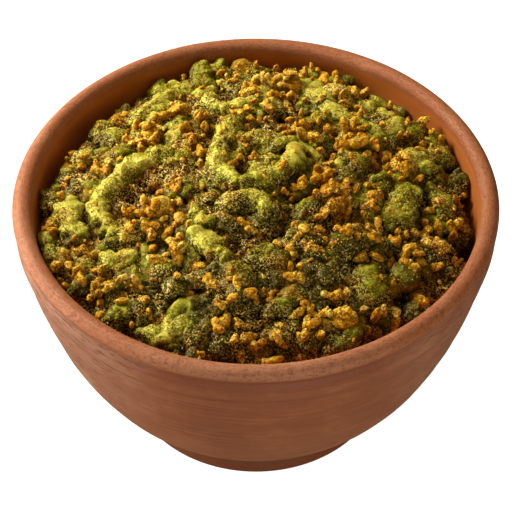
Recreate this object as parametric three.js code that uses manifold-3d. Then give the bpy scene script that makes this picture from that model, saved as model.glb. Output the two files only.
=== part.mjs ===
// A terracotta serving bowl heaped with chopped, fried bitter gourd.
// Millimetres, +Z up, origin at the middle of the foot on the table.
import * as THREE from 'three';
import { mergeVertices } from 'three/addons/utils/BufferGeometryUtils.js';
import Module from 'manifold-3d';

const wasm = await Module();
wasm.setup();

// Bowl
const rimRadius = 75;
const bowlHeight = 86;
const lipRadius = 3;
const footRadius = 43;
const footHeight = 12;
const footTopRadius = 41;
const footEdge = 0.6;
const waistRadius = 40;
const bellyRadius = 59.7;
const shoulderRadius = 72.35;
const shoulderHeight = 56;
const wallThickness = 6;
const recessRadius = 33;
const recessDepth = 9;
const recessSlope = 2;
const floorHeight = 18;
const floorRadius = 30;
const innerLipRadius = rimRadius - 2 * lipRadius;
const bowlSegments = 48;

// Heap of food
const clearance = 0.3;
const heapRadius = innerLipRadius - 1.2;
const heapEdgeHeight = 76;
const heapTopHeight = 92;
const bedDrop = 3.4;
const bedRipple = 0.9;
const bedSegments = 32;
const pieceRise = -1.8;
const openTop = 120;

const colours = {
  terracotta: 0xa5643f,
  bed: 0x5d5a16,
  flesh: 0xa9a63a,
  rind: 0x3c4a14,
  nugget: 0xc98a2c,
};

// Outline of the bowl's outside from the foot to the lip, as [radius, height] points.
function outerWall() {
  return new THREE.CubicBezierCurve(
    new THREE.Vector2(waistRadius, footHeight),
    new THREE.Vector2(bellyRadius, footHeight),
    new THREE.Vector2(shoulderRadius, shoulderHeight),
    new THREE.Vector2(rimRadius, bowlHeight - lipRadius),
  );
}

// Inside of the bowl from the lip down to the floor, moved inwards by gap.
function innerWall(gap) {
  return new THREE.CubicBezierCurve(
    new THREE.Vector2(innerLipRadius - gap, bowlHeight - lipRadius),
    new THREE.Vector2(shoulderRadius - wallThickness - gap, shoulderHeight + 2),
    new THREE.Vector2(bellyRadius - wallThickness + 1 - gap, floorHeight + gap),
    new THREE.Vector2(floorRadius, floorHeight + gap),
  );
}

function lathe(points, segments) {
  const geometry = new THREE.LatheGeometry(points, segments);
  geometry.rotateX(Math.PI / 2);
  return geometry;
}

// A closed geometry as a solid: seams merged, and triangles shut by the merging left out.
function toSolid(geometry) {
  const bare = geometry.clone();
  bare.deleteAttribute('normal');
  bare.deleteAttribute('uv');
  const merged = mergeVertices(bare, 1e-4);
  const corners = merged.index.array;
  const faces = [];
  for (let i = 0; i < corners.length; i += 3) {
    const [a, b, c] = [corners[i], corners[i + 1], corners[i + 2]];
    if (a !== b && b !== c && c !== a) {
      faces.push(a, b, c);
    }
  }
  const mesh = new wasm.Mesh({
    numProp: 3,
    vertProperties: merged.attributes.position.array,
    triVerts: new Uint32Array(faces),
  });
  return new wasm.Manifold(mesh);
}

function toGeometry(solid) {
  const mesh = solid.getMesh();
  const geometry = new THREE.BufferGeometry();
  geometry.setAttribute('position', new THREE.BufferAttribute(mesh.vertProperties, 3));
  geometry.setIndex(new THREE.BufferAttribute(mesh.triVerts, 1));
  geometry.computeVertexNormals();
  return geometry;
}

// The largest body of a solid that a cut may have left in several.
function mainBody(solid) {
  const bodies = solid.decompose();
  bodies.sort((a, b) => b.volume() - a.volume());
  return bodies[0];
}

function bowlSolid() {
  const outside = outerWall().getPoints(11);
  const inside = innerWall(0).getPoints(9);
  const lip = new THREE.EllipseCurve(
    rimRadius - lipRadius, bowlHeight - lipRadius, lipRadius, lipRadius, 0, Math.PI,
  ).getPoints(6);
  const points = [
    new THREE.Vector2(0, recessDepth),
    new THREE.Vector2(recessRadius - recessSlope, recessDepth),
    new THREE.Vector2(recessRadius, 0),
    new THREE.Vector2(footRadius - footEdge, 0),
    new THREE.Vector2(footRadius, footEdge),
    new THREE.Vector2(footTopRadius, footHeight - footEdge),
    ...outside,
    ...lip.slice(1, -1),
    ...inside,
    new THREE.Vector2(0, floorHeight),
  ];
  return toSolid(lathe(points, bowlSegments));
}

// Height of the heap's general surface above the table.
function surfaceHeight(x, y) {
  const away = Math.min((x * x + y * y) / (heapRadius * heapRadius), 1);
  return heapEdgeHeight + (heapTopHeight - heapEdgeHeight) * (1 - away);
}

// Everything inside the bowl's wall, open upwards: the food's pieces are kept within it.
function cavitySolid() {
  const wall = innerWall(clearance).getPoints(9).reverse();
  const points = [
    new THREE.Vector2(0, floorHeight + clearance),
    ...wall,
    new THREE.Vector2(innerLipRadius - clearance, openTop),
    new THREE.Vector2(0, openTop),
  ];
  return toSolid(lathe(points, bedSegments));
}

// The packed mixture under the loose pieces.
function bedSolid() {
  const wall = innerWall(clearance).getPoints(9).reverse();
  const side = wall.filter((point) => point.y < heapEdgeHeight - bedDrop - 2);
  const edge = side[side.length - 1].x;
  const rings = 6;
  const crown = [];
  for (let i = 0; i <= rings; i += 1) {
    const radius = edge * (1 - i / rings);
    crown.push(new THREE.Vector2(radius, surfaceHeight(radius, 0) - bedDrop));
  }
  const points = [new THREE.Vector2(0, floorHeight + clearance), ...side, ...crown];
  const geometry = lathe(points, bedSegments);
  const place = geometry.attributes.position;
  for (let i = 0; i < place.count; i += 1) {
    const [x, y, z] = [place.getX(i), place.getY(i), place.getZ(i)];
    const isCrown = z > surfaceHeight(x, y) - bedDrop - 0.01;
    const inward = 1 - Math.hypot(x, y) / rimRadius;
    const ripple = bedRipple * inward * Math.sin(0.24 * x + 1) * Math.sin(0.21 * y - 0.6);
    place.setZ(i, isCrown ? z + ripple : z);
  }
  return toSolid(geometry);
}

// A slice of gourd bent along a line over the heap: a sphere's rings are spread along the line.
function bentSlice({ line, width, height, rise = 0, seed = 0 }, extra) {
  const spine = new THREE.CatmullRomCurve3(
    line.map(([x, y]) => new THREE.Vector3(x, y, surfaceHeight(x, y) + pieceRise + rise)),
  );
  const rings = Math.max(7, Math.round(spine.getLength() / 4));
  const geometry = new THREE.SphereGeometry(1, 8, rings);
  const place = geometry.attributes.position;
  const upward = new THREE.Vector3(0, 0, 1);
  for (let i = 0; i < place.count; i += 1) {
    const polar = Math.acos(THREE.MathUtils.clamp(place.getY(i), -1, 1));
    const along = polar / Math.PI;
    const ring = Math.max(Math.sin(polar), 1e-6);
    const blunt = Math.sqrt(Math.max(1 - (2 * along - 1) ** 4, 0));
    const across = (place.getX(i) / ring) * blunt;
    const over = (place.getZ(i) / ring) * blunt;
    const ruffle = 1 + 0.13 * Math.sin(9 * along * (1 + rings / 14) + 4 * across + seed);
    const centre = spine.getPointAt(along);
    const ahead = spine.getTangentAt(along);
    const side = new THREE.Vector3().crossVectors(upward, ahead).normalize();
    centre.addScaledVector(side, across * (0.5 * width * ruffle + extra));
    centre.addScaledVector(upward, over * (0.5 * height * ruffle + extra));
    centre.addScaledVector(ahead, extra * (2 * along - 1));
    place.setXYZ(i, centre.x, centre.y, centre.z);
  }
  return geometry;
}

// A rough lump of gourd, rind or fried crumb.
function lump({ at, size, turn = 0, rise = 0, seed = 0, detail = 1 }, extra) {
  const [x, y] = at;
  const [length, width, height] = size;
  const geometry = new THREE.IcosahedronGeometry(1, detail);
  const place = geometry.attributes.position;
  for (let i = 0; i < place.count; i += 1) {
    const point = new THREE.Vector3().fromBufferAttribute(place, i);
    const knob = 1 + 0.12 * Math.sin(3.2 * point.x + seed) * Math.cos(2.9 * point.y - 2 * seed)
      + 0.08 * Math.sin(4.1 * point.z + 1.7 * seed);
    point.multiplyScalar(knob);
    const grown = [length, width, height].map((span) => span / 2 + extra);
    place.setXYZ(i, point.x * grown[0], point.y * grown[1], point.z * grown[2]);
  }
  geometry.rotateZ(THREE.MathUtils.degToRad(turn));
  geometry.translate(x, y, surfaceHeight(x, y) + pieceRise + rise);
  return geometry;
}

// Curved slices of gourd wall; the spine of each is given over the heap as [x, y].
const slices = [
  { line: [[-24, 13], [-32, 13], [-40, 7], [-46, -2], [-47, -11], [-43, -19], [-35, -21]],
    width: 5.6, height: 8, rise: 1.2 },
  { line: [[-3, 31], [-9, 23], [-12, 9], [-10, -2], [-2, -5], [6, 0], [12, 6], [11, 16]],
    width: 6, height: 8.5, rise: 1.4, seed: 1 },
  { line: [[-9, -18], [-9, -12], [-4, -10.5], [2, -12], [3, -19]],
    width: 4.6, height: 8, rise: 1, seed: 2 },
  { line: [[-18, -9], [-18, -15], [-14, -18.5], [-11.5, -16]],
    width: 3.8, height: 6.5, rise: 0.4, seed: 3 },
  { line: [[-40, 33], [-36, 41], [-30, 47], [-21, 53]], width: 5.2, height: 7, rise: 0.8, seed: 4 },
  { line: [[-16, 45], [-14, 38], [-7, 36], [-3, 42]], width: 5, height: 7.5, rise: 0.6, seed: 5 },
  { line: [[-20, -21], [-14, -27], [-9, -32], [-4, -38], [-6, -44]],
    width: 7, height: 7.5, rise: 0.8, seed: 6 },
  { line: [[-57, 3], [-58, -5], [-56, -13], [-52, -19]], width: 8, height: 8, rise: 0.6, seed: 7 },
  { line: [[20, 52], [22, 44], [24, 37], [32, 34], [35, 38]],
    width: 5.6, height: 7, rise: 0.4, seed: 8 },
  { line: [[49, 4], [45, -4], [43, -12], [46, -19]], width: 10, height: 9, rise: 0.8, seed: 9 },
  { line: [[52, 6], [57, -1], [57, -9]], width: 5.5, height: 8, rise: 0.8, seed: 10 },
  { line: [[-4, -29], [3, -31], [10, -33]], width: 8, height: 7, rise: 0, seed: 11 },
  { line: [[2, -51], [8, -46], [15, -40]], width: 6, height: 6.5, rise: 0.4, seed: 12 },
  { line: [[18, -60], [24, -56], [31, -49]], width: 6, height: 6.5, rise: 0.4, seed: 13 },
  { line: [[31, -31], [33, -38], [35, -45]], width: 9, height: 8, rise: 0.2, seed: 14 },
  { line: [[-36, -51], [-28, -54], [-20, -50]], width: 6.5, height: 6.5, rise: 0.2, seed: 15 },
  { line: [[-47, -26], [-41, -28.5], [-35, -27]], width: 7.5, height: 7, rise: 0, seed: 16 },
  { line: [[46, 19], [52, 16], [57, 12]], width: 8, height: 8, rise: 0.2, seed: 17 },
];

// Chunks and bits of rind; size is [length, width, height].
const chunks = [
  { at: [-13, 64], size: [11, 9, 10], rise: 1.6, seed: 1 },
  { at: [-47, 27], size: [11, 10, 8], turn: 30, rise: 0.4, seed: 2 },
  { at: [-54, 19], size: [8, 9, 8], turn: 10, rise: -0.4, seed: 3 },
  { at: [-51, 4], size: [7, 10, 7], turn: -12, rise: -0.6, seed: 4 },
  { at: [38, 45], size: [9, 7, 8], turn: 20, rise: 0.4, seed: 5 },
  { at: [43, 33], size: [10, 9, 8], turn: 40, rise: -0.6, seed: 6 },
  { at: [-8, -57], size: [10, 8, 8], turn: 10, rise: 0.2, seed: 7 },
  { at: [15, -57], size: [9, 7, 7], turn: -15, rise: 0.4, seed: 8 },
  { at: [-11, -48], size: [10, 8, 8], turn: 25, rise: 0.2, seed: 9 },
  { at: [14, -24], size: [12, 9, 8], turn: 15, rise: 0.2, seed: 10 },
  { at: [33, -6], size: [12, 9, 7], turn: -20, rise: -0.2, seed: 11 },
  { at: [16, -12], size: [12, 8, 7], turn: 25, rise: -0.2, seed: 12 },
  { at: [36, 24], size: [11, 9, 8], turn: 10, rise: 0.2, seed: 13 },
  { at: [-35, -35], size: [13, 8, 7], turn: -14, rise: 0, seed: 14 },
  { at: [4, 36], size: [8, 7, 7], turn: 50, rise: 0, seed: 15 },
];
const rinds = [
  { at: [19, 62], size: [9, 8, 9], rise: 0.8, seed: 1 },
  { at: [50, 32], size: [8, 8, 8], rise: 0.2, seed: 2 },
  { at: [58, 24], size: [8, 8, 8], rise: 0, seed: 3 },
  { at: [30, 10], size: [9, 8, 7], rise: 0.2, seed: 4 },
  { at: [19, 17], size: [9, 9, 7], rise: -0.2, seed: 5 },
  { at: [25, -26], size: [9, 9, 8], rise: 0.2, seed: 6 },
  { at: [18, -34], size: [9, 8, 7], rise: -0.2, seed: 7 },
  { at: [-24, -38], size: [9, 9, 8], rise: 0, seed: 8 },
  { at: [-40, -46], size: [12, 9, 8], turn: 20, rise: 0.2, seed: 9 },
  { at: [44, -32], size: [9, 9, 8], rise: -0.2, seed: 10 },
  { at: [48, -43], size: [9, 8, 8], rise: -0.4, seed: 11 },
  { at: [-61, -20], size: [7, 9, 8], rise: -0.4, seed: 12 },
  { at: [56, -21], size: [9, 9, 8], rise: 0, seed: 13 },
];

// Large fried nuggets among the crumbs.
const nuggets = [
  { at: [-4, 67], size: [7, 6, 10], rise: 2.4, seed: 1 },
  { at: [-24, 37], size: [7, 4.5, 5], turn: 10, rise: 1.6, seed: 2 },
  { at: [11, 53], size: [6, 8, 6], rise: 1.6, seed: 3 },
  { at: [-1, 48], size: [7, 6, 6], rise: 1.2, seed: 4 },
  { at: [26, 49], size: [9, 6, 6], turn: -20, rise: 1.8, seed: 5 },
  { at: [-33, 24], size: [8, 5, 5], turn: 40, rise: 1.4, seed: 6 },
  { at: [45, 11], size: [9, 7, 6], turn: 20, rise: 1, seed: 7 },
  { at: [24, -6], size: [7, 11, 6], turn: 15, rise: 0.8, seed: 8 },
  { at: [-29, -10], size: [8, 6, 6], rise: 1, seed: 9 },
  { at: [25, -50], size: [8, 7, 6], turn: 30, rise: 1.4, seed: 10 },
];

function named(pieces, shape, name, tint) {
  return pieces.map((piece, i) => ({ piece, shape, name: `${name}_${i + 1}`, tint }));
}

// Upper pieces keep their whole shape; each later piece is cut back to leave them a gap.
function settle(cavity) {
  const laid = [
    ...named(slices, bentSlice, 'gourd_slice', 'flesh'),
    ...named(nuggets, lump, 'fried_nugget', 'nugget'),
    ...named(chunks, lump, 'gourd_chunk', 'flesh'),
    ...named(rinds, lump, 'rind_piece', 'rind'),
  ];
  const settled = [];
  laid.forEach(({ piece, shape, name, tint }) => {
    let solid = toSolid(shape(piece, 0)).intersect(cavity);
    settled.forEach((other) => {
      solid = solid.subtract(other.grown);
    });
    settled.push({ name, tint, solid: mainBody(solid), grown: toSolid(shape(piece, clearance)) });
  });
  return settled;
}

function addMesh(group, name, solid, tint, roughness) {
  const material = new THREE.MeshStandardMaterial({ color: colours[tint], roughness, metalness: 0 });
  const mesh = new THREE.Mesh(toGeometry(solid), material);
  mesh.name = name;
  group.add(mesh);
}

const dish = new THREE.Group();
addMesh(dish, 'terracotta_bowl', bowlSolid(), 'terracotta', 0.85);

const settled = settle(cavitySolid());
let bed = bedSolid();
settled.forEach(({ grown }) => {
  bed = bed.subtract(grown);
});
addMesh(dish, 'gourd_mixture', mainBody(bed), 'bed', 0.7);
settled.forEach(({ name, solid, tint }) => addMesh(dish, name, solid, tint, 0.6));

export default dish;
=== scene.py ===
import math
import random

import bmesh
import bpy
import numpy as np
from mathutils import Euler, Matrix, Vector, noise
from mathutils.bvhtree import BVHTree
from mathutils.geometry import interpolate_bezier
from mathutils.kdtree import KDTree


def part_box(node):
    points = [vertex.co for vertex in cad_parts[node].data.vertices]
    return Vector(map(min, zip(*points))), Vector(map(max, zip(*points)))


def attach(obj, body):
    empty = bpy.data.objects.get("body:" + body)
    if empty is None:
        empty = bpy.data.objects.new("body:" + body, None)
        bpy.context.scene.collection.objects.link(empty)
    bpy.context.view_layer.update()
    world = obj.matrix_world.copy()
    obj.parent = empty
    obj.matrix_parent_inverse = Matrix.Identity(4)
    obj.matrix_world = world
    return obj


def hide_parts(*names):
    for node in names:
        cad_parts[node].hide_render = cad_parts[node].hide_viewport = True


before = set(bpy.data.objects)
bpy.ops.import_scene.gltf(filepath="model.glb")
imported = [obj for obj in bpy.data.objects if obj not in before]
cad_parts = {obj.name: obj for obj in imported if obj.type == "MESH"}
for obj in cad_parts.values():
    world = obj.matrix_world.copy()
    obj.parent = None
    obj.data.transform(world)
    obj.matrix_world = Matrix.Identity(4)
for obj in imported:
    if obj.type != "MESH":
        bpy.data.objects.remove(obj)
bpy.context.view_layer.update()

scene = bpy.context.scene
mm = 0.001
bowlLow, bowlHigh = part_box("terracotta_bowl")
rimRadius = (bowlHigh.x - bowlLow.x) / 2
rimHeight = bowlHigh.z
heapLow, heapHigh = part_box("gourd_mixture")


class Wire:
    # one socket of a node tree; sums with numbers and other wires add Math nodes
    def __init__(self, tree, socket):
        self.tree = tree
        self.socket = socket

    def math(self, operation, *others):
        inputs = dict(enumerate((self, *others)))
        return addNode(self.tree, "ShaderNodeMath", {"operation": operation}, inputs)

    def __add__(self, other):
        return self.math("ADD", other)

    def __sub__(self, other):
        return self.math("SUBTRACT", other)

    def __mul__(self, other):
        return self.math("MULTIPLY", other)

    def __rsub__(self, other):
        return addNode(self.tree, "ShaderNodeMath", {"operation": "SUBTRACT"}, {0: other, 1: self})

    def __pow__(self, other):
        return self.math("POWER", other)

    __radd__ = __add__
    __rmul__ = __mul__

    def between(self, low, high, start=0.0, end=1.0):
        # a soft step: start below low, end above high
        return addNode(self.tree, "ShaderNodeMapRange", {"interpolation_type": "SMOOTHSTEP"},
                       {"Value": self, "From Min": low, "From Max": high, "To Min": start, "To Max": end})


def addNode(tree, kind, settings=None, inputs=None, output=0):
    node = tree.nodes.new(kind)
    for key, value in (settings or {}).items():
        if key == "stops":
            ramp = node.color_ramp
            while len(ramp.elements) < len(value):
                ramp.elements.new(0.5)
            for element, (place, colour) in zip(ramp.elements, value):
                element.position = place
                element.color = (*colour, 1)
        else:
            setattr(node, key, value)
    for key, value in (inputs or {}).items():
        socket = node.inputs[key]
        if isinstance(value, Wire):
            tree.links.new(value.socket, socket)
        elif isinstance(value, tuple) and len(value) == 3 and socket.type == "RGBA":
            socket.default_value = (*value, 1)
        else:
            socket.default_value = value
    return Wire(tree, node.outputs[output]) if node.outputs else None


class Finish:
    # one material; its methods add the nodes that the finishes below share
    def __init__(self, name):
        self.material = bpy.data.materials.new(name)
        self.material.use_nodes = True
        self.tree = self.material.node_tree
        self.tree.nodes.clear()
        self.place = self.node("ShaderNodeTexCoord", output="Object")

    def node(self, kind, settings=None, inputs=None, output=0):
        return addNode(self.tree, kind, settings, inputs, output)

    def stretched(self, scale):
        return self.node("ShaderNodeMapping", None, {"Vector": self.place, "Scale": scale})

    def noise(self, size, detail, roughness, vector=None):
        # size is the width of one blob in millimetres
        return self.node("ShaderNodeTexNoise", None, {
            "Vector": vector or self.place, "Scale": 1 / (size * mm), "Detail": detail,
            "Roughness": roughness})

    def turned(self, length, width):
        # a place for noise of size 1, for marks left by turning: their length round the bowl and their
        # width, in millimetres
        flat = self.node("ShaderNodeVectorMath", {"operation": "MULTIPLY"}, {0: self.place, 1: (1, 1, 0)})
        radius = self.node("ShaderNodeVectorMath", {"operation": "LENGTH"}, {0: flat}, "Value")
        height = self.node("ShaderNodeSeparateXYZ", None, {0: self.place}, "Z")
        way = self.node("ShaderNodeVectorMath", {"operation": "NORMALIZE"}, {0: flat})
        way = self.node("ShaderNodeVectorMath", {"operation": "SCALE"}, {0: way, "Scale": rimRadius / length})
        across = self.node("ShaderNodeCombineXYZ", None, {2: (radius * 0.7 + height) * (1 / width)})
        return self.node("ShaderNodeVectorMath", {"operation": "ADD"}, {0: way, 1: across})

    def cells(self, size):
        # a random number from 0 to 1 for each cell of that width in millimetres
        found = self.node("ShaderNodeTexVoronoi", None,
                          {"Vector": self.place, "Scale": 1 / (size * mm)}, "Color")
        return self.node("ShaderNodeSeparateColor", None, {0: found})

    def along(self, right, back, start, end):
        # 0 to 1 across the heap, in a direction given by its parts to the right and to the back
        side = self.node("ShaderNodeVectorMath", {"operation": "DOT_PRODUCT"},
                         {0: self.place, 1: (right, back, 0)}, "Value")
        return side.between(start * mm, end * mm)

    def near(self, right, back, reach):
        # 1 at that place on top of the heap, 0 beyond its reach
        away = self.node("ShaderNodeVectorMath", {"operation": "DISTANCE"},
                         {0: self.place, 1: (right * mm, back * mm, heap["paintHeight"])}, "Value")
        return away.between(reach * mm, 0.3 * reach * mm)

    def attribute(self, name):
        return self.node("ShaderNodeAttribute", {"attribute_name": name}, None, "Fac")

    def mix(self, first, second, factor):
        return self.node("ShaderNodeMix", {"data_type": "RGBA"}, {0: factor, 6: first, 7: second}, 2)

    def ramp(self, factor, stops):
        return self.node("ShaderNodeValToRGB", {"stops": stops}, {"Fac": factor})

    def bump(self, height, depth, strength, under=None):
        # depth is the height of the relief in millimetres
        inputs = {"Height": height, "Distance": depth * mm, "Strength": strength}
        if under:
            inputs["Normal"] = under
        return self.node("ShaderNodeBump", None, inputs)

    def shade(self, colour, roughness, normal, **fixed):
        inputs = {"Base Color": colour, "Roughness": roughness, "Normal": normal}
        inputs.update({key.replace("_", " "): value for key, value in fixed.items()})
        shader = self.node("ShaderNodeBsdfPrincipled", None, inputs)
        self.node("ShaderNodeOutputMaterial", None, {"Surface": shader})
        return self.material


clayLook = {
    "pale": (0.40, 0.165, 0.080),
    "main": (0.240, 0.078, 0.036),
    "bounceAndDust": (0.36, 0.140, 0.070),
    "paintedSheen": (0.52, 0.31, 0.21),
    "dark": (0.120, 0.034, 0.015),
    "red": (0.165, 0.040, 0.015),
    "lip": (0.360, 0.120, 0.042),
    "grit": (0.12, 0.026, 0.010),
    "inner": (0.46, 0.128, 0.014),
    "foot": (0.122, 0.030, 0.008),
}

# rings of painted light and shade on the outside: painted shade in the groove under the lip, a painted
# highlight on the shoulder ring and a painted shade under it; where each one starts, is full, begins to fade
# and ends, in millimetres up
paintedRingHeights = {
    "groove": (76, 79, 82, 83.5),
    "band": (72.5, 74, 76, 78),
    "line": (70.6, 71.8, 72.4, 73.4),
}


def paintedRingMask(height, name):
    low, full, fading, high = (h * mm for h in paintedRingHeights[name])
    return height.between(low, full) * height.between(high, fading)


def terracottaFinish():
    f = Finish("terracotta")
    height = f.node("ShaderNodeSeparateXYZ", None, {0: f.place}, "Z")
    inside = f.attribute("inside")
    lip = height.between(rimHeight - 5.0 * mm, rimHeight - 2.5 * mm) * (1 - inside)
    body = 1 - lip
    turning = f.noise(1.0, 3, 0.6, f.stretched((0.03, 0.03, 0.8)))
    streak = f.noise(1.0, 2, 0.6, f.turned(4.5, 0.5))
    lipMarks = f.noise(1.0, 3, 0.65, f.turned(2.2, 0.35))
    patches = f.noise(13, 4, 0.6)
    fine = f.noise(0.5, 3, 0.6)
    draw = f.cells(0.3)
    colour = f.mix(clayLook["main"], clayLook["pale"], patches.between(0.42, 0.72) * 0.3)
    # dust and painted light bounced from the floor: the clay is paler towards the foot
    bounceAndDustBelow = height.between(62 * mm, 14 * mm)      # more towards the foot
    colour = f.mix(colour, clayLook["bounceAndDust"], bounceAndDustBelow * 0.42)
    colour = f.mix(colour, clayLook["dark"], turning.between(0.5, 0.72) * body * 0.4)
    colour = f.mix(colour, clayLook["pale"], turning.between(0.48, 0.3) * body * 0.25)
    # painted shade in the groove under the lip
    colour = f.mix(colour, clayLook["red"], paintedRingMask(height, "groove") * (1 - inside) * 0.5)
    # a pale painted sheen, a painted reflection, shows most at the two sides of the front, and dark streaks
    # show most there too
    paintedSheen = (f.along(-0.9, -0.44, 53, 67) + f.along(0.92, -0.4, 56, 70) * 0.7) * body * (1 - inside)
    colour = f.mix(colour, clayLook["paintedSheen"], paintedSheen * patches.between(0.3, 0.7, 0.2, 0.42))
    colour = f.mix(colour, clayLook["dark"], streak.between(0.54, 0.64) * body * (0.22 + 0.6 * paintedSheen))
    # a painted highlight on the shoulder ring and a painted shade just under it
    colour = f.mix(colour, clayLook["pale"], paintedRingMask(height, "band") * patches.between(0.3, 0.6) * 0.3)
    colour = f.mix(colour, clayLook["dark"], paintedRingMask(height, "line") * patches.between(0.35, 0.6) * 0.35)
    colour = f.mix(colour, clayLook["inner"], inside * 0.9)
    # painted shade on the inner wall at the right, darker below the lip towards the food
    shadedInnerRight = f.along(1, 0.1, 30, 66) * height.between(84 * mm, 79 * mm)
    colour = f.mix(colour, clayLook["dark"], inside * shadedInnerRight * 0.22)
    colour = f.mix(colour, clayLook["lip"], lip * 0.8)
    colour = f.mix(colour, clayLook["pale"], lip * patches.between(0.5, 0.68) * 0.5)
    # painted highlight on the front of the lip
    colour = f.mix(colour, clayLook["paintedSheen"], lip * f.along(0, -1, 58, 74) * 0.22)
    colour = f.mix(colour, clayLook["red"], lip * lipMarks.between(0.5, 0.66) * 0.5)
    colour = f.mix(colour, clayLook["pale"], lip * lipMarks.between(0.46, 0.3) * 0.5)
    # painted shadow of the belly on the foot: darker below 12.6 mm
    colour = f.mix(colour, clayLook["foot"], height.between(12.6 * mm, 11.8 * mm) * 0.92)
    colour = f.mix(colour, clayLook["pale"], fine.between(0.5, 0.7) * (0.15 + 0.3 * lip))
    grit = draw.between(0.4, 0.15) * (0.15 + 0.85 * lip) * fine.between(0.4, 0.55)
    colour = f.mix(colour, clayLook["grit"], grit * 0.55)
    relief = f.bump(turning, 0.22, 0.6)
    relief = f.bump(fine, 0.14, 0.7, relief)
    relief = f.bump(1 - grit, 0.2, 0.8, relief)
    return f.shade(colour, 0.5 + fine * 0.2, relief, Specular_IOR_Level=0.3)


gourdLook = {
    "pale": (0.43, 0.405, 0.055),
    "lime": (0.212, 0.228, 0.004),
    "olive": (0.080, 0.071, 0.0003),
    "rind": (0.026, 0.0230, 0.0002),
    "creviceShade": (0.026, 0.0085, 0.0002),
    "turmeric": (0.32, 0.15, 0.004),
    "ash": (0.080, 0.055, 0.010),
    "grain": (0.80, 0.63, 0.20),
    "soot": (0.010, 0.005, 0.0005),
}


def grainy(f, colour, ground, specks):
    # fine beads that lighten and darken a surface by ground, with pale and black specks; gives the beads too
    draw = f.cells(0.38)
    uneven = (draw ** 2 - 0.34) * ground * 2.7 + 1
    colour = f.node("ShaderNodeVectorMath", {"operation": "SCALE"}, {0: colour, "Scale": uneven})
    colour = f.mix(colour, gourdLook["soot"], draw.between(0.35, 0.1) * specks * 0.45)
    return f.mix(colour, gourdLook["grain"], draw.between(0.6, 0.85) * (specks * 0.8 + ground * 0.4)), draw


def gourdFinish(name, rindShare, cover=1.0):
    # rindShare shifts the whole piece from flesh towards dark rind; cover is how much grit clings to it
    f = Finish(name)
    tone = f.attribute("tone")
    rind = f.attribute("rind")
    ridge = f.attribute("ridge")
    zone = f.noise(14, 2, 0.5)
    blotch = f.noise(5, 3, 0.6)
    mottle = f.noise(1.6, 3, 0.65)
    fine = f.noise(0.42, 2, 0.6)
    # painted shade towards the front right and round a spot at the front, and painted light round a spot at
    # the back left
    shadeFrontRight = f.along(0.45, -0.9, -20, 60)      # darker towards the front right
    # crests and upward faces are paler: painted light
    skin = rind * 0.45 + blotch * 0.6 + zone * 0.5 + tone * 0.2 - ridge * 1.4 + mottle * 0.2
    skin = skin + shadeFrontRight * 0.35 + f.near(5, -45, 36) * 0.26 - f.near(-8, 25, 50) * 0.14
    colour = f.ramp(skin + (rindShare + 0.18), [
        (0.0, gourdLook["pale"]), (0.22, gourdLook["lime"]),
        (0.5, gourdLook["olive"]), (0.9, gourdLook["rind"])])
    colour = f.mix(colour, gourdLook["turmeric"], f.noise(7, 2, 0.5).between(0.52, 0.68) * 0.5)
    grit = f.noise(10, 2, 0.55)
    leftward = f.along(-1, 0, -35, 20)      # grainier towards the left
    patch = grit.between(0.52, 0.64) * ridge.between(0.9, 0.6, 0.15, 1.0) * (0.7 + 0.3 * leftward) * cover
    colour = f.mix(colour, gourdLook["ash"], patch * ridge.between(0.8, 0.45) * 0.55)
    # painted shade in the hollows between and under the pieces
    colour = f.mix(colour, gourdLook["creviceShade"], ridge.between(0.42, 0.12) * 0.75)
    side = ridge.between(0.9, 0.55) * 0.65 + leftward * 0.35
    ground = grit.between(0.36, 0.52, 0.3, 0.7) * (0.3 + side)
    colour, draw = grainy(f, colour, ground, patch)
    relief = f.bump(mottle, 0.18, 0.6)
    relief = f.bump(fine, 0.14, 0.75, relief)
    relief = f.bump(draw, 0.1, 0.8, relief)
    return f.shade(colour, 0.26 + fine * 0.3, relief,
                   Specular_IOR_Level=0.18, Specular_Tint=(1.0, 0.85, 0.3, 1),
                   Subsurface_Weight=0.9, Subsurface_Radius=(1.0, 0.7, 0.3), Subsurface_Scale=2.4 * mm)


crumbLook = {
    "tan": (0.58, 0.42, 0.075),
    "gold": (0.52, 0.28, 0.004),
    "orange": (0.45, 0.205, 0.002),
    "brown": (0.19, 0.066, 0.0006),
    "char": (0.05, 0.016, 0.001),
}


def crumbFinish():
    f = Finish("friedCrumb")
    tone = f.attribute("tone")
    ridge = f.attribute("ridge")
    mottle = f.noise(1.3, 3, 0.6)
    fine = f.noise(0.4, 2, 0.6)
    # frying tone, with painted light on the tops of crumbs and painted shade towards the front right
    browningAndLight = tone + (mottle - 0.5) * 0.4 + (ridge - 0.45) * 0.6 - f.near(20, -20, 40) * 0.2
    colour = f.ramp(browningAndLight, [(0.0, crumbLook["brown"]), (0.3, crumbLook["orange"]),
                            (0.6, crumbLook["gold"]), (1.0, crumbLook["tan"])])
    # painted shade round the edges of crumbs and in the creases where they join
    colour = f.mix(colour, crumbLook["brown"], ridge.between(0.4, 0.05) * 0.7)
    colour = f.mix(colour, crumbLook["char"], f.noise(0.7, 2, 0.5).between(0.62, 0.74) * 0.4)
    grit = f.noise(10, 2, 0.55)
    colour, _ = grainy(f, colour, grit.between(0.36, 0.54, 0.25, 0.6), grit.between(0.5, 0.64) * 0.5)
    relief = f.bump(mottle, 0.35, 0.6)
    relief = f.bump(fine, 0.16, 0.8, relief)
    return f.shade(colour, 0.28 + fine * 0.3, relief,
                   Specular_IOR_Level=0.25, Specular_Tint=(1.0, 0.7, 0.15, 1),
                   Subsurface_Weight=0.9, Subsurface_Radius=(1.0, 0.65, 0.4), Subsurface_Scale=1.4 * mm)


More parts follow.
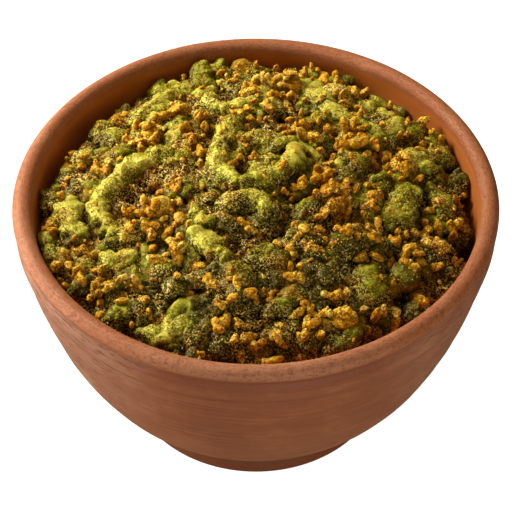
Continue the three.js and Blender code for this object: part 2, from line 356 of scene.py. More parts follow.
def mixtureFinish():
    f = Finish("packedMixture")
    tone = f.attribute("tone")
    ridge = f.attribute("ridge")
    mottle = f.noise(1.4, 3, 0.6)
    fine = f.noise(0.45, 2, 0.6)
    colour = f.ramp(tone + (mottle - 0.5) * 0.4, [
        (0.0, gourdLook["olive"]), (0.3, gourdLook["ash"]), (0.55, crumbLook["brown"]),
        (0.75, gourdLook["turmeric"]), (1.0, crumbLook["orange"])])
    # painted shade in the hollows of the packed mixture
    colour = f.mix(colour, gourdLook["creviceShade"], ridge.between(0.55, 0.1) * 0.8)
    grit = f.noise(10, 2, 0.55)
    colour, draw = grainy(f, colour, grit.between(0.36, 0.54, 0.5, 0.85), grit.between(0.48, 0.6) * 0.8)
    relief = f.bump(draw, 0.12, 0.8, f.bump(fine, 0.2, 0.8, f.bump(mottle, 0.4, 0.7)))
    return f.shade(colour, 0.5 + fine * 0.25, relief, Specular_IOR_Level=0.1,
                   Subsurface_Weight=0.6, Subsurface_Radius=(1.0, 0.7, 0.5), Subsurface_Scale=1.4 * mm)


def grainFinish():
    f = Finish("seedsAndGrains")
    tone = f.attribute("tone")
    colour = f.ramp(tone, [(0.12, crumbLook["char"]), (0.2, crumbLook["brown"]),
                           (0.45, gourdLook["turmeric"]), (0.65, crumbLook["gold"]),
                           (0.9, gourdLook["grain"])])
    fine = f.noise(0.2, 2, 0.6)
    return f.shade(colour, 0.4 + fine * 0.2, f.bump(fine, 0.05, 0.5), Specular_IOR_Level=0.15)


def newObject(name, mesh, material):
    piece = bpy.data.objects.new(name, mesh)
    scene.collection.objects.link(piece)
    mesh.materials.clear()
    mesh.materials.append(material)
    mesh.shade_smooth()
    return piece


def fromBmesh(bm, name):
    mesh = bpy.data.meshes.new(name)
    bm.to_mesh(mesh)
    bm.free()
    return mesh


def applied(piece):
    # the piece's mesh with its modifiers worked in
    graph = bpy.context.evaluated_depsgraph_get()
    mesh = bpy.data.meshes.new_from_object(piece.evaluated_get(graph))
    old = piece.data
    piece.modifiers.clear()
    piece.data = mesh
    bpy.data.meshes.remove(old)
    return mesh


def remeshed(piece, voxel, smoothing):
    remesh = piece.modifiers.new("remesh", "REMESH")
    remesh.mode = "VOXEL"
    remesh.voxel_size = voxel
    smooth = piece.modifiers.new("smooth", "SMOOTH")
    smooth.factor = 0.6
    smooth.iterations = smoothing
    mesh = applied(piece)
    mesh.shade_smooth()
    return mesh


def points(mesh):
    flat = np.zeros(len(mesh.vertices) * 3, np.float32)
    mesh.vertices.foreach_get("co", flat)
    return flat.reshape(-1, 3)


def movePoints(mesh, places):
    mesh.vertices.foreach_set("co", np.ascontiguousarray(places, np.float32).ravel())
    mesh.update()


def normals(mesh):
    flat = np.zeros(len(mesh.vertices) * 3, np.float32)
    mesh.vertex_normals.foreach_get("vector", flat)
    return flat.reshape(-1, 3)


def setAttribute(mesh, name, values):
    layer = mesh.attributes.get(name) or mesh.attributes.new(name, "FLOAT", "POINT")
    layer.data.foreach_set("value", np.clip(values, 0, 1).astype(np.float32))


def smoothNoise(places, size, seed):
    # noise from -1 to 1 with blobs of that width in millimetres
    shift = Vector((seed * 7.31, seed * 3.17, seed * 5.77))
    scale = 1 / (size * mm)
    return np.array([noise.noise(Vector(p) * scale + shift) for p in places.tolist()], np.float32)


def lobes(places, size, seed):
    # rounded lumps with creases between them, from 0 in a crease to about 1 on a lump
    shift = Vector((seed * 2.3, seed * 4.1, seed * 6.7))
    scale = 1 / (size * mm)
    nearest = (noise.voronoi(Vector(p) * scale + shift)[0][0] for p in places.tolist())
    return np.array([1 - away * 1.25 for away in nearest], np.float32)


bowl = {
    "lipRadius": 3.0 * mm,
    "footRadius": 43 * mm,
    "footTopRadius": 41 * mm,
    "footHeight": 12 * mm,
    "footEdge": 0.6 * mm,
    "waistRadius": 40 * mm,
    "bellyRadius": 59.7 * mm,
    "shoulder": (72.35 * mm, 56 * mm),
    "wall": 6 * mm,
    "recessRadius": 33 * mm,
    "recessDepth": 9 * mm,
    "floorHeight": 18 * mm,
    "floorRadius": 30 * mm,
    "groove": (80.8 * mm, 1.5 * mm, 0.7 * mm),      # turned under the lip: height, width and depth
    "shoulderRing": (76.4 * mm, 2.0 * mm, 0.45 * mm),
    "wobble": 0.22 * mm,      # slow unevenness of the turned wall
    "ripple": 0.07 * mm,      # quicker rings left by the fingers
    "wear": 0.12 * mm,      # taken off above the foot, to leave room for the two
    "clearance": 0.5 * mm,      # kept between food and wall
    "steps": 320,
}


def arc(centre, radius, start, end, count):
    turn = [math.radians(start + (end - start) * i / (count - 1)) for i in range(count)]
    return [(centre[0] + radius * math.cos(a), centre[1] + radius * math.sin(a)) for a in turn]


def curve(first, handleA, handleB, last, count):
    ends = [Vector((*p, 0)) for p in (first, handleA, handleB, last)]
    return [(p.x, p.y) for p in interpolate_bezier(*ends, count)]


def bowlInside():
    b = bowl
    inner = rimRadius - 2 * b["lipRadius"]
    top = rimHeight - b["lipRadius"]
    shoulder = (b["shoulder"][0] - b["wall"], b["shoulder"][1] + 2 * mm)
    belly = (b["bellyRadius"] - b["wall"] + 1 * mm, b["floorHeight"])
    return curve((inner, top), shoulder, belly, (b["floorRadius"], b["floorHeight"]), 60)


wallHeights = np.array([p[1] for p in reversed(bowlInside())])
wallRadii = np.array([p[0] for p in reversed(bowlInside())])


def innerRadiusAt(height):
    return np.interp(height, wallHeights, wallRadii)


def keepInBowl(places):
    # moves points that would go into the bowl's wall back inwards
    inner = innerRadiusAt(places[:, 2]) - bowl["clearance"]
    away = np.hypot(places[:, 0], places[:, 1])
    share = np.where(away > inner, inner / np.maximum(away, 1e-6), 1)
    places[:, :2] *= share[:, None]
    return places


def makeBowl():
    b = bowl
    top = rimHeight - b["lipRadius"]
    outside = curve((b["waistRadius"], b["footHeight"]), (b["bellyRadius"], b["footHeight"]),
                    b["shoulder"], (rimRadius, top), 130)

    def ring(z, place, width, size):
        return size * math.exp(-((z - place) / width) ** 2)

    outside = [(r - ring(z, *b["groove"]) + ring(z, *b["shoulderRing"]), z) for r, z in outside]
    lip = arc((rimRadius - b["lipRadius"], top), b["lipRadius"], 0, 180, 25)
    edge = b["footEdge"]
    foot = arc((b["footRadius"] - edge, edge), edge, -90, 0, 5)
    foot += curve(foot[-1], (b["footRadius"] - 0.5 * mm, 5 * mm), (b["footTopRadius"] + 0.3 * mm, 8 * mm),
                  (b["footTopRadius"], b["footHeight"] - edge), 10)[1:]
    recess = b["recessRadius"]
    outline = [(0, b["recessDepth"]), (recess * 0.6, b["recessDepth"])]
    outline += curve((recess - 4 * mm, b["recessDepth"]), (recess - 1.5 * mm, b["recessDepth"]),
                     (recess - 1.5 * mm, 1 * mm), (recess, 0), 10)
    outline += foot + outside + lip[1:] + bowlInside()[1:] + [(0, b["floorHeight"])]
    bm = bmesh.new()
    chain = [bm.verts.new((r, 0, z)) for r, z in outline]
    edges = [bm.edges.new(pair) for pair in zip(chain, chain[1:])]
    bmesh.ops.spin(bm, geom=chain + edges, cent=(0, 0, 0), axis=(0, 0, 1), angle=math.tau,
                   steps=b["steps"], use_merge=True)
    bmesh.ops.remove_doubles(bm, verts=bm.verts, dist=1e-6)
    bmesh.ops.recalc_face_normals(bm, faces=bm.faces)
    mesh = fromBmesh(bm, "terracottaBowl")
    places = points(mesh)
    facing = normals(mesh)
    away = np.hypot(places[:, 0], places[:, 1])
    upper = places[:, 2] > b["footHeight"]
    inward = (facing[:, 0] * places[:, 0] + facing[:, 1] * places[:, 1]) < 0
    inside = (inward & upper & (away < rimRadius - b["lipRadius"])).astype(np.float32)
    setAttribute(mesh, "inside", inside * np.clip((rimHeight - 1.5 * mm - places[:, 2]) / (3 * mm), 0, 1))
    turned = np.stack([places[:, 0] * 0.25, places[:, 1] * 0.25, places[:, 2] * 2], 1)
    wobble = smoothNoise(turned, 14, 3) * b["wobble"]
    wobble += smoothNoise(places * [0.4, 0.4, 3], 5, 4) * b["ripple"]
    wobble[places[:, 2] < 4 * mm] = 0      # it stands on a flat ring
    movePoints(mesh, places + facing * wobble[:, None] - facing * b["wear"] * upper[:, None])
    piece = newObject("terracottaBowl", mesh, terracottaFinish())
    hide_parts("terracotta_bowl")
    return piece


gourd = {
    "voxel": 0.4 * mm,
    "sway": 1.3 * mm,       # slow sideways wander, over 8 mm
    "swell": 1.2 * mm,      # grows the whole piece
    "bend": 1.6 * mm,       # slow swelling and pinching, over 10 mm
    "fold": 0.8 * mm,       # sharp-topped folds, over 4.5 mm
    "wart": 1.7 * mm,       # upright ribs of the rind, over 2.8 mm
    "frill": 0.34 * mm,     # small ruffles, over 1.4 mm
    "bead": 0.16 * mm,      # fine beads, over 0.7 mm
}


def outerSide(places, _):
    # 1 on the side of a curved slice that was the gourd's skin, 0 on its inner side, told from the circle
    # that fits the slice best as seen from above
    flat = places[:, :2].astype(np.float64) / mm
    table = np.column_stack([2 * flat, np.ones(len(flat))])
    answer = np.linalg.lstsq(table, (flat ** 2).sum(1), rcond=None)[0]
    centre = answer[:2]
    away = np.linalg.norm(flat - centre, axis=1)
    middle = np.median(away)
    spread = max(np.percentile(np.abs(away - middle), 90), 0.5)
    return np.clip(((away - middle) / spread + 0.1) * 0.7, 0, 1)


def oneSide(places, rng):
    # 1 towards one side of a chunk, picked at random
    centre = places.mean(0)
    turn = rng.uniform(0, math.tau)
    direction = np.array([math.cos(turn), math.sin(turn), rng.uniform(-0.5, 0.6)])
    along = (places - centre) @ direction
    return np.clip(along / max(np.abs(along).max(), 1e-6) * 1.4, 0, 1)


def roughen(mesh, seed, rind, amount=1.0):
    # folds, warts and beads worked into a piece; also notes how high each point stands and how much it faces
    # up, less where it lies deep in the heap, 0 to 1, for painted light on tops and painted shade in hollows
    places = points(mesh)
    facing = normals(mesh)
    for axis in (0, 1):
        places[:, axis] += smoothNoise(places, 8, 21 + axis) * gourd["sway"] * amount
    bend = smoothNoise(places, 10, 3)
    fold = 1 - 3 * np.abs(smoothNoise(places, 4.5, seed + 1))
    wart = lobes(places * [1, 1, 0.45], 2.8, seed + 2) - 0.4
    wart *= np.clip(rind * 1.5 + 0.5 * smoothNoise(places, 5, 8), 0.15, 1)
    frill = smoothNoise(places, 1.4, seed + 3)
    bead = smoothNoise(places, 0.7, seed + 4)
    lift = gourd["swell"] + bend * gourd["bend"] * amount + (fold - 0.5) * gourd["fold"] * amount
    lift += wart * gourd["wart"] * amount + frill * gourd["frill"] + bead * gourd["bead"]
    moved = keepInBowl(places + facing * lift[:, None] * [1, 1, 0.6])      # wider more than higher
    movePoints(mesh, moved)
    upward = np.clip(facing[:, 2], 0, 1)
    deep = np.clip((heapHeight(moved[:, 0], moved[:, 1]) - moved[:, 2]) / (5 * mm), 0, 1)
    # higher on crests and upward faces for painted light, lower deep in the heap for painted shade
    setAttribute(mesh, "ridge",
                 0.3 + 0.1 * fold + 0.3 * wart + 0.1 * frill + 0.2 * bend + 0.45 * upward - 0.35 * deep)
    setAttribute(mesh, "rind", rind)


def makePiece(node, finish, seed, rindSide, amount):
    rng = random.Random(seed)
    bm = bmesh.new()
    bm.from_mesh(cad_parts[node].data)
    bmesh.ops.remove_doubles(bm, verts=bm.verts, dist=1e-6)
    piece = newObject(node + "_cooked", fromBmesh(bm, node), finish)
    mesh = remeshed(piece, gourd["voxel"], 10)
    places = points(mesh)
    rind = rindSide(places, rng) if rindSide else np.zeros(len(places))
    roughen(mesh, seed, rind, amount)
    setAttribute(mesh, "tone", np.full(len(places), rng.random()))
    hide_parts(node)
    return piece


heap = {
    "crown": 2.6 * mm,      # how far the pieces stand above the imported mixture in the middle
    "edge": 76 * mm,
    "radius": 67.8 * mm,
    # the painted patches of light and shade on the food are centred at this level
    "paintHeight": 85 * mm,      # the level at which patches of colour are centred
}


def heapHeight(x, y):
    # the heap's general surface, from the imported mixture's own box
    top = heapHigh.z + heap["crown"]
    away = np.minimum((x * x + y * y) / heap["radius"] ** 2, 1)
    return heap["edge"] + (top - heap["edge"]) * (1 - away)


# loose chopped gourd between the larger pieces; sizes and depths are in millimetres
bits = {
    "count": 220,
    "size": (6.0, 11.5),
    "sink": (1.4, 3.6),
    "spans": ((0.55, 0.8), (0.34, 0.5), (0.28, 0.4)),      # half length, width and height, in sizes
    "spacing": 0.45,      # the least distance to a neighbour, in sizes
    "lower": 0.8 * mm,      # how much deeper where it would cover a larger piece
    "lean": 0.4,
    "curl": 0.9,
    "reach": 64 * mm,
    "voxel": 0.43 * mm,
}


def makeBits(name, rng, count, finish, tree):
    # rough blobs and short bent slices, run together into one mesh on the left and one on the right
    halves = {"Left": bmesh.new(), "Right": bmesh.new()}
    centres = []
    while len(centres) < count:
        away = bits["reach"] * math.sqrt(rng.random())
        turn = rng.uniform(0, math.tau)
        x, y = away * math.cos(turn), away * math.sin(turn)
        size = rng.uniform(*bits["size"]) * mm
        z = heapHeight(x, y) - rng.uniform(*bits["sink"]) * mm
        centre = Vector((x, y, z))
        space = bits["spacing"] * size
        if tree.find_nearest(centre)[3] < space:
            centre.z -= bits["lower"]
        if any((centre - other).length < space for other, _, _ in centres):
            continue
        centres.append((centre, rng.random(), rng.random()))
        lean = [rng.uniform(-bits["lean"], bits["lean"]) for _ in range(2)]
        tilt = Euler((*lean, rng.uniform(0, math.tau))).to_matrix().to_4x4()
        spans = Matrix.Diagonal((*(size * rng.uniform(*span) for span in bits["spans"]), 1))
        bm = halves["Left" if x < 0 else "Right"]
        made = bmesh.ops.create_icosphere(bm, subdivisions=3, radius=1.0)["verts"]
        curl = rng.uniform(-bits["curl"], bits["curl"])
        shift = Vector((len(centres) * 1.7, 0, 0))
        for vert in made:
            vert.co *= 1 + 0.6 * noise.noise(vert.co * 1.3 + shift)
            vert.co.y += curl * vert.co.x ** 2
        bmesh.ops.transform(bm, matrix=Matrix.Translation(centre) @ tilt @ spans, verts=made)
    index = KDTree(len(centres))
    for i, (centre, _, _) in enumerate(centres):
        index.insert(centre, i)
    index.balance()
    seed = rng.randrange(1000)
    pieces = []
    for side, bm in halves.items():
        piece = newObject(name + side, fromBmesh(bm, name + side), finish)
        mesh = remeshed(piece, bits["voxel"], 6)
        places = points(mesh)
        nearest = [index.find(p)[1] for p in places.tolist()]
        rind = np.array([centres[i][2] for i in nearest]) + 0.6 * smoothNoise(places, 4, 9)
        roughen(mesh, seed, np.clip(rind, 0, 1))
        setAttribute(mesh, "tone", np.array([centres[i][1] for i in nearest]))
        pieces.append(piece)
    return pieces


mixture = {
    "cells": 290,
    "radius": 67.3 * mm,
    "drop": (0.5 * mm, 2.2 * mm),      # how deep it lies below the pieces, on the left and on the right
    "dropFrom": -20 * mm,      # where it begins to lie deeper, and over what width
    "dropOver": 70 * mm,
    "edgeWidth": 5 * mm,
    "edgeDrop": 3.4 * mm,
    "lump": 2.2,      # relief over 7, 2.2 and 1.2 mm, in millimetres
    "knob": 1.3,
    "grit": 0.3,
    # height and inset of its hidden rows, and the inset on the bowl's floor, in millimetres
    "skirt": ((66, 1.5), (52, 4.0), (38, 10), (26, 20)),
    "floorInset": 38,
}


def makeMixture(finish):
    radius = mixture["radius"]
    bm = bmesh.new()
    bmesh.ops.create_grid(bm, x_segments=mixture["cells"], y_segments=mixture["cells"], size=1.0)
    for vert in bm.verts:      # the square grid is rounded into a disc
        x, y = vert.co.x, vert.co.y
        vert.co.x = radius * x * math.sqrt(1 - y * y / 2)
        vert.co.y = radius * y * math.sqrt(1 - x * x / 2)
    bmesh.ops.recalc_face_normals(bm, faces=bm.faces)
    rim = [e for e in bm.edges if e.is_boundary]
    for height, inset in (*mixture["skirt"], (heapLow.z / mm, mixture["floorInset"])):
        made = bmesh.ops.extrude_edge_only(bm, edges=rim)["geom"]
        verts = [g for g in made if isinstance(g, bmesh.types.BMVert)]
        rim = [g for g in made if isinstance(g, bmesh.types.BMEdge) and g.is_boundary]
        for vert in verts:
            share = (radius - inset * mm) / max(math.hypot(vert.co.x, vert.co.y), 1e-6)
            vert.co = Vector((vert.co.x * share, vert.co.y * share, height * mm))
    bmesh.ops.contextual_create(bm, geom=rim)
    mesh = fromBmesh(bm, "gourdMixture")
    places = points(mesh)
    top = np.abs(places[:, 2]) < 1e-6
    across = np.clip((places[top, 0] - mixture["dropFrom"]) / mixture["dropOver"], 0, 1)
    drop = mixture["drop"][0] + (mixture["drop"][1] - mixture["drop"][0]) * across
    places[top, 2] = heapHeight(places[top, 0], places[top, 1]) - drop
    movePoints(mesh, places)
    lump = 1 - 3 * np.abs(smoothNoise(places, 7, 11))
    knob = lobes(places, 2.2, 12)
    rise = (lump - 0.5) * mixture["lump"] * mm + (knob - 0.5) * mixture["knob"] * mm
    rise += smoothNoise(places, 1.2, 14) * mixture["grit"] * mm
    edge = np.clip((radius - np.hypot(places[:, 0], places[:, 1])) / mixture["edgeWidth"], 0, 1)
    places[top, 2] += (rise * edge - mixture["edgeDrop"] * (1 - edge))[top]
    movePoints(mesh, places)
    setAttribute(mesh, "ridge", 0.5 * lump + 0.5 * knob)
    setAttribute(mesh, "tone", 0.5 + 0.9 * smoothNoise(places, 3.2, 13))
    piece = newObject("gourdMixture", mesh, finish)
    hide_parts("gourd_mixture")
    return piece


def surfaceTree(pieces):
    corners, faces = [], []
    for piece in pieces:
        start = len(corners)
        corners += [tuple(v.co) for v in piece.data.vertices]
        faces += [tuple(start + i for i in p.vertices) for p in piece.data.polygons]
    return BVHTree.FromPolygons(corners, faces)


def crumbShapes(rng, count, detail, knob):
    # a few knobbly shapes about 1 across, to be copied over the heap
    shapes = []
    for i in range(count):
        bm = bmesh.new()
        bmesh.ops.create_icosphere(bm, subdivisions=detail, radius=0.5)
        spans = Vector((rng.uniform(1.1, 1.9), rng.uniform(0.7, 1.0), rng.uniform(0.65, 0.9)))
        for vert in bm.verts:
            vert.co *= 1 + knob * noise.noise(vert.co * 2.4 + Vector((i * 3.1, 0, 0)))
            vert.co = vert.co * spans
        shapes.append(fromBmesh(bm, f"crumbShape{i}"))
    return shapes


def fuseCrumbs(piece, spots):
    # turns joined crumb copies into granular masses that grow together where they touch
    mesh = remeshed(piece, crumb["voxel"], 0)
    places = points(mesh)
    facing = normals(mesh)
    index = KDTree(len(spots))
    for i, (_, matrix, _) in enumerate(spots):
        index.insert(matrix.translation, i)
    index.balance()
    found = [index.find(p) for p in places.tolist()]
    size = np.array([spots[i][1].to_scale().x for _, i, _ in found])
    away = np.array([d for _, _, d in found]) / size
    knob = smoothNoise(places, 1.5, 5)
    bead = smoothNoise(places, 0.7, 6)
    lift = knob * crumb["knob"] + bead * crumb["bead"]
    movePoints(mesh, keepInBowl(places + facing * lift[:, None]))
    setAttribute(mesh, "tone", np.array([spots[i][2] for _, i, _ in found]))
    # lower in the creases where crumbs join and higher on upward faces, for painted shade and painted light
    setAttribute(mesh, "ridge", 0.55 * away + 0.6 * knob + 0.4 * bead + 0.3 * facing[:, 2])
    return piece


def copies(name, shapes, spots, material):
    # joins one copy of a shape for each spot: (shape number, matrix, tone)
    corners, faces, tones = [], [], []
    start = 0
    forms = [(points(s), np.array([p.vertices[:] for p in s.polygons])) for s in shapes]
    for number, matrix, tone in spots:
        places, polygons = forms[number]
        grid = np.array(matrix, np.float32)
        corners.append(places @ grid[:3, :3].T + grid[:3, 3])
        faces.append(polygons + start)
        tones.append(np.full(len(places), tone))
        start += len(places)
    mesh = bpy.data.meshes.new(name)
    mesh.from_pydata(np.concatenate(corners).tolist(), [], np.concatenate(faces).tolist())
    mesh.update()
    setAttribute(mesh, "tone", np.concatenate(tones))
    setAttribute(mesh, "ridge", np.full(len(mesh.vertices), 0.5))
    return newObject(name, mesh, material)


def landing(tree, x, y):
    # the first point met from above, and the way it faces
    return tree.ray_cast(Vector((x, y, 0.13)), Vector((0, 0, -1)))[:2]


def restingSpot(tree, rng, x, y, size, shapeCount, tone, sink):
    # a crumb of that size set into the surface under x, y; None outside the heap
    if math.hypot(x, y) > innerRadiusAt(crumb["wallAt"]) - 0.6 * size - crumb["wallGap"]:
        return None
    hit, normal = landing(tree, x, y)
    if hit is None:
        return None
    centre = hit + normal * size * sink
    turn = Euler([rng.uniform(0, math.tau) for _ in range(3)]).to_matrix().to_4x4()
    return rng.randrange(shapeCount), Matrix.Translation(centre) @ turn @ Matrix.Scale(size, 4), tone


# where fried crumbs gather: [x, y, spread, how many, tone from brown to tan], in millimetres
crumbHeaps = [
    [-58, 21, 4, 10, 0.35], [-45, 40, 4, 12, 0.4], [-34, 25, 5, 22, 0.6], [-38, 18, 4, 10, 0.45],
    [-20, 22, 4, 14, 0.3], [-17, 29, 3, 6, 0.5], [-23, 62, 2, 3, 0.45], [-4, 68, 3, 6, 0.6],
    [-7, 54, 4, 10, 0.8], [0, 47, 4, 10, 0.75], [9, 54, 4, 12, 0.8], [11, 63, 5, 14, 0.5],
    [24, 57, 4, 10, 0.5], [31, 55, 3, 8, 0.45], [26, 48, 4, 12, 0.75], [7, 42, 4, 10, 0.6],
    [-5, 8, 5, 16, 0.35], [10, 26, 4, 10, 0.4], [13, 21, 3, 6, 0.5], [28, 18, 7, 34, 0.45],
    [38, 13, 5, 18, 0.4], [46, 11, 5, 20, 0.5], [50, 21, 3, 8, 0.45], [54, 35, 3, 8, 0.4],
    [61, 2, 4, 12, 0.35], [-25, -3, 3, 8, 0.3], [-26, -11, 4, 14, 0.45], [-35, -14, 4, 16, 0.5],
    [-30, -22, 4, 16, 0.35], [-26, -28, 3, 8, 0.6], [-21, -32, 3, 6, 0.65], [-55, -24, 4, 12, 0.4],
    [-50, -31, 6, 22, 0.5], [-46, -38, 4, 10, 0.45], [-40, -39, 3, 7, 0.8], [-34, -44, 3, 7, 0.6],
    [-62, -8, 3, 10, 0.3], [-59, -1, 3, 6, 0.4], [-10, -27, 3, 6, 0.45], [-4, -22, 3, 5, 0.7],
    [-9, -48, 3, 7, 0.55], [-9, -56, 4, 12, 0.55], [-4, -57, 3, 6, 0.6], [10, -4, 3, 5, 0.6],
    [22, -6, 6, 34, 0.45], [25, -13, 4, 14, 0.3], [27, -21, 3, 7, 0.7], [31, -26, 3, 5, 0.75],
    [11, -28, 4, 14, 0.7], [12, -36, 3, 6, 0.65], [22, -43, 3, 5, 0.75], [15, -49, 3, 8, 0.5],
    [22, -51, 5, 16, 0.6], [35, -43, 4, 8, 0.8], [38, -46, 4, 8, 0.5], [13, -56, 4, 8, 0.4],
    [5, -59, 4, 8, 0.5], [44, -23, 8, 40, 0.5], [52, -17, 5, 20, 0.45], [38, -19, 5, 20, 0.45],
    [58, -8, 5, 22, 0.4], [50, -38, 4, 10, 0.3], [-16, -40, 4, 6, 0.4], [35, -11, 4, 10, 0.4],
    [0, -42, 5, 14, 0.4], [2, 30, 4, 10, 0.5], [33, 34, 4, 10, 0.5], [20, 3, 5, 18, 0.4],
    [-15, 10, 4, 6, 0.5], [-50, 12, 4, 10, 0.5], [-28, 38, 4, 8, 0.7], [-12, -36, 4, 6, 0.4],
]

# sizes and reaches are in millimetres
crumb = {
    "size": (2.2, 3.8),
    "share": 0.55,      # the part of each number in the list above that is dropped
    "tightness": 0.75,      # and the part of each spread
    "loose": 260,
    "looseSize": (1.6, 3.0),
    "looseReach": 66,
    "onSlices": (0.12, 0.04),      # how many stay where they fall on a slice, of the gathered and the loose
    "small": 160,
    "smallSize": (0.8, 1.5),
    "grains": 9000,
    "grainSize": (0.28, 0.46),
    "smallReach": 66.5,
    "wallAt": 77 * mm,      # the level at which the wall's radius counts
    "wallGap": 0.6 * mm,
    "split": 12 * mm,      # left of this they are one piece, right of it another
    "voxel": 0.33 * mm,
    "knob": 0.18 * mm,
    "bead": 0.14 * mm,
}


def scatterCrumbs(rng, tree, sliceTree, shapeCount):
    spots = []

    def drop(x, y, size, tone, sink, onSlices):
        high = landing(tree, x, y)[0]
        bare = landing(sliceTree, x, y)[0]
        if high and bare and bare.z > high.z - 0.3 * mm and rng.random() > onSlices:
            return      # the tops of the gourd slices stay mostly bare
        spots.append(restingSpot(tree, rng, x, y, size, shapeCount, tone, sink))

    for x, y, spread, count, tone in crumbHeaps:
        wander = spread * crumb["tightness"]
        for _ in range(math.ceil(count * crumb["share"])):
            drop(rng.gauss(x, wander) * mm, rng.gauss(y, wander) * mm, rng.uniform(*crumb["size"]) * mm,
                 tone + rng.uniform(-0.2, 0.25), rng.uniform(0.05, 0.35), crumb["onSlices"][0])
    for _ in range(crumb["loose"]):
        away = crumb["looseReach"] * math.sqrt(rng.random()) * mm
        turn = rng.uniform(0, math.tau)
        if math.cos(turn) > rng.uniform(-1.2, 0.9):      # more of them on the right
            drop(away * math.cos(turn), away * math.sin(turn), rng.uniform(*crumb["looseSize"]) * mm,
                 rng.uniform(0.2, 0.8), rng.uniform(0.0, 0.3), crumb["onSlices"][1])
    return [s for s in spots if s]


def scatterSmall(rng, tree, shapeCount, count, sizes, patchSize, level, tones):
    # small crumbs or grains, gathered where a slow noise is above a level
    spots = []
    while len(spots) < count:
        away = crumb["smallReach"] * math.sqrt(rng.random()) * mm
        turn = rng.uniform(0, math.tau)
        x, y = away * math.cos(turn), away * math.sin(turn)
        if noise.noise(Vector((x, y, 0)) / (patchSize * mm)) + rng.uniform(-0.25, 0.25) < level:
            continue
        spot = restingSpot(tree, rng, x, y, rng.uniform(*sizes) * mm, shapeCount,
                           rng.uniform(*tones), rng.uniform(0.0, 0.35))
        if spot:
            spots.append(spot)
    return spots


rng = random.Random(20)
fleshFinish = gourdFinish("gourdFlesh", 0.06, 0.5)
chunkFinish = gourdFinish("gourdChunk", 0.2)
skinFinish = gourdFinish("gourdRind", 0.36)
bitFinish = gourdFinish("choppedGourd", 0.24)
crumbSkin = crumbFinish()
grainSkin = grainFinish()

bowlPiece = makeBowl()
print("bowl made")

# finish, slot, where its rind is and how rough it is
kinds = {
    "gourd_slice": (fleshFinish, "gourd_flesh", outerSide, 1.0),
    "gourd_chunk": (chunkFinish, "gourd_flesh", oneSide, 1.0),
    "rind_piece": (skinFinish, "gourd_rind", oneSide, 1.0),
    "fried_nugget": (crumbSkin, "fried_nugget", None, 0.6),
}
gourdPieces = []
for number, node in enumerate(sorted(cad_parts)):
    kind = kinds.get(node.rstrip("_0123456789"))
    if kind:
        finish, slot, rindSide, amount = kind
        gourdPieces.append(makePiece(node, finish, 10 + number, rindSide, amount))
print("cooked pieces made:", len(gourdPieces))

mixturePiece = makeMixture(mixtureFinish())
print("mixture made")

sliceTree = surfaceTree([p for p in gourdPieces if p.name.startswith("gourd_slice")])
lightBits = makeBits("choppedBitsLight", rng, bits["count"] // 2, bitFinish, sliceTree)
darkBits = makeBits("choppedBitsDark", rng, bits["count"] // 2, skinFinish, sliceTree)
bitPieces = lightBits + darkBits
print("chopped bits made")

heapTree = surfaceTree(gourdPieces + bitPieces + [mixturePiece])
smallShapes = crumbShapes(rng, 12, 2, 0.32)
grainShapes = crumbShapes(rng, 5, 1, 0.6)
crumbSpots = scatterCrumbs(rng, heapTree, sliceTree, len(smallShapes))
crumbPieces = []
for side, spots in (("Left", [s for s in crumbSpots if s[1].translation.x < crumb["split"]]),
                    ("Right", [s for s in crumbSpots if s[1].translation.x >= crumb["split"]])):
    name = "friedCrumbs" + side
    crumbPieces.append(fuseCrumbs(copies(name, smallShapes, spots, crumbSkin), spots))
crumbTree = surfaceTree(gourdPieces + bitPieces + [mixturePiece] + crumbPieces)
smallPiece = copies("smallCrumbs", smallShapes, scatterSmall(
    rng, crumbTree, len(smallShapes), crumb["small"], crumb["smallSize"], 16, -0.1, (0.1, 0.9)), crumbSkin)
grainPiece = copies("seedsAndGrains", grainShapes, scatterSmall(
    rng, crumbTree, len(grainShapes), crumb["grains"], crumb["grainSize"], 12, 0.0, (0.0, 1.0)), grainSkin)
print("fried crumbs and grains scattered:", len(crumbSpots), crumb["small"], crumb["grains"])

for piece in [bowlPiece, mixturePiece, smallPiece, grainPiece, *crumbPieces, *bitPieces, *gourdPieces]:
    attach(piece, "root")

studio = {
    "floor": (0.3, 0.3, 0.295),
    "floorGlow": 1.0,
    "world": (1.0, 0.74, 0.42),
    "worldStrength": 0.28,
    "lens": 132.3,
    "sensor": 36,
    "elevation": 45.9,      # degrees above the table
    "distance": 0.6,
    "aim": (0, 0, 56.6 * mm),
}

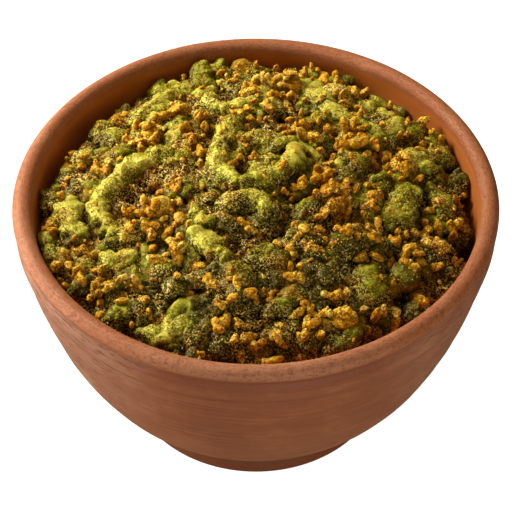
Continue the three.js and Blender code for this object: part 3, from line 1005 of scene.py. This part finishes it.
# place, aim, size, power and colour
lamps = {
    "keyLight": ((-0.42, 0.30, 0.46), (0, 0, 0.08), 0.3, 8.1, (1.0, 0.93, 0.78)),
    "leftFill": ((-0.8, 0.05, 0.10), (0, 0, 0.05), 0.18, 7.6, (1.0, 0.96, 0.92)),
    "frontFill": ((0.2, -0.8, 0.10), (0, 0, 0.04), 0.5, 4.5, (1.0, 0.96, 0.9)),
}


def floorFinish():
    f = Finish("paleFloor")
    relief = f.bump(f.noise(30, 2, 0.5), 0.02, 0.1)
    return f.shade(studio["floor"], 0.9, relief, Specular_IOR_Level=0.0, Emission_Color=(1, 1, 1, 1),
                   Emission_Strength=studio["floorGlow"])


def makeFloor():
    bm = bmesh.new()
    bmesh.ops.create_grid(bm, x_segments=2, y_segments=2, size=3.0)
    floor = newObject("floor", fromBmesh(bm, "floor"), floorFinish())
    floor.visible_diffuse = False      # the bright floor doesn't light the bowl from below
    floor.visible_glossy = False


def areaLight(name, place, aim, size, power, colour):
    light = bpy.data.lights.new(name, "AREA")
    light.shape = "DISK"
    light.size = size
    light.energy = power
    light.color = colour
    lamp = bpy.data.objects.new(name, light)
    lamp.location = place
    lamp.rotation_euler = (Vector(aim) - Vector(place)).to_track_quat("-Z", "Y").to_euler()
    scene.collection.objects.link(lamp)


def makeCamera():
    camera = bpy.data.cameras.new("camera")
    camera.lens = studio["lens"]
    camera.sensor_width = studio["sensor"]
    eye = bpy.data.objects.new("camera", camera)
    elevation = math.radians(studio["elevation"])
    aim = Vector(studio["aim"])
    eye.location = aim + Vector((0, -math.cos(elevation), math.sin(elevation))) * studio["distance"]
    eye.rotation_euler = (aim - eye.location).to_track_quat("-Z", "Y").to_euler()
    scene.collection.objects.link(eye)
    scene.camera = eye


makeFloor()
for name, lamp in lamps.items():
    areaLight(name, *lamp)
world = bpy.data.worlds.new("studio")
world.use_nodes = True
background = world.node_tree.nodes["Background"]
background.inputs["Color"].default_value = (*studio["world"], 1)
background.inputs["Strength"].default_value = studio["worldStrength"]
scene.world = world
scene.view_settings.view_transform = "Standard"
makeCamera()
print("studio set")
